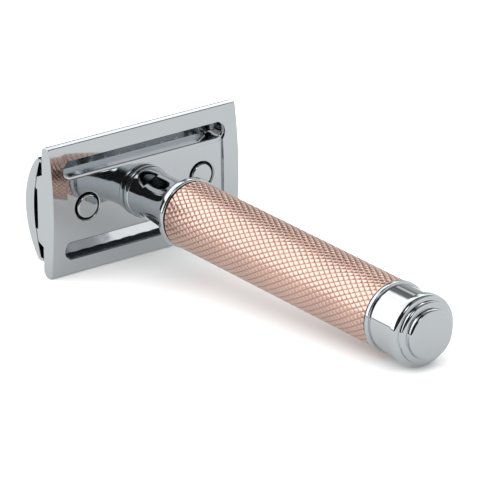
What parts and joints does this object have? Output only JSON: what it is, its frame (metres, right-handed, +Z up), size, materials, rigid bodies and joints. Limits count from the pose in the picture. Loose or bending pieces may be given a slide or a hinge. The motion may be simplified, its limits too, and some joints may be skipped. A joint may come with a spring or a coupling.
{
  "type": "safety razor",
  "caption": "Closed-comb double-edge safety razor: a curved cap and slotted base plate clamp a blade, on a waisted neck, knurled grip and ringed pommel.",
  "frame": {"origin": "centre of the resting razor's box, on the surface it lies on", "axes": "+X from the head to the pommel, +Y along the head, +Z up; the handle's axis leans down towards the pommel"},
  "size_m": [0.0958, 0.0428, 0.0259],
  "materials": {
    "chrome": "mirror-polished chrome plate",
    "rose_gold": "diamond-knurled, polished rose-gold plate",
    "blade_steel": "fine-ground stainless steel",
    "thread_steel": "machined steel",
    "seal_rubber": "matt black rubber"
  },
  "bodies": {
    "plate": {"base_plate": "chrome"},
    "handle": {"neck": "chrome", "neck_seal_ring": "seal_rubber", "grip_sleeve": "rose_gold", "tie_rod": "thread_steel", "pommel_seal_ring": "seal_rubber", "pommel_ferrule": "chrome", "pommel_cap": "chrome"},
    "cap": {"top_cap": "chrome", "clamp_stud": "thread_steel", "locating_pin_left": "chrome", "locating_pin_right": "chrome"},
    "blade": {"blade": "blade_steel"}
  },
  "joints": [
    {"name": "handle_turn", "type": "hinge", "parent": "plate", "child": "handle", "pos_m": [-0.03966, 0, 0.01294], "axis": [0.9973, 0, -0.0728], "range_deg": [0, 3600]},
    {"name": "cap_lift", "type": "slide", "parent": "plate", "child": "cap", "axis": [-0.9973, 0, 0.0728], "range_m": [0, 0.0081]},
    {"name": "blade_lift", "type": "slide", "parent": "plate", "child": "blade", "axis": [-0.9973, 0, 0.0728], "range_m": [0, 0.0041]}
  ],
  "couplings": [
    {"joint": "cap_lift", "follows": "handle_turn", "m_per_rad": 0.00012732},
    {"joint": "blade_lift", "follows": "handle_turn", "m_per_rad": 0.000063662}
  ]
}
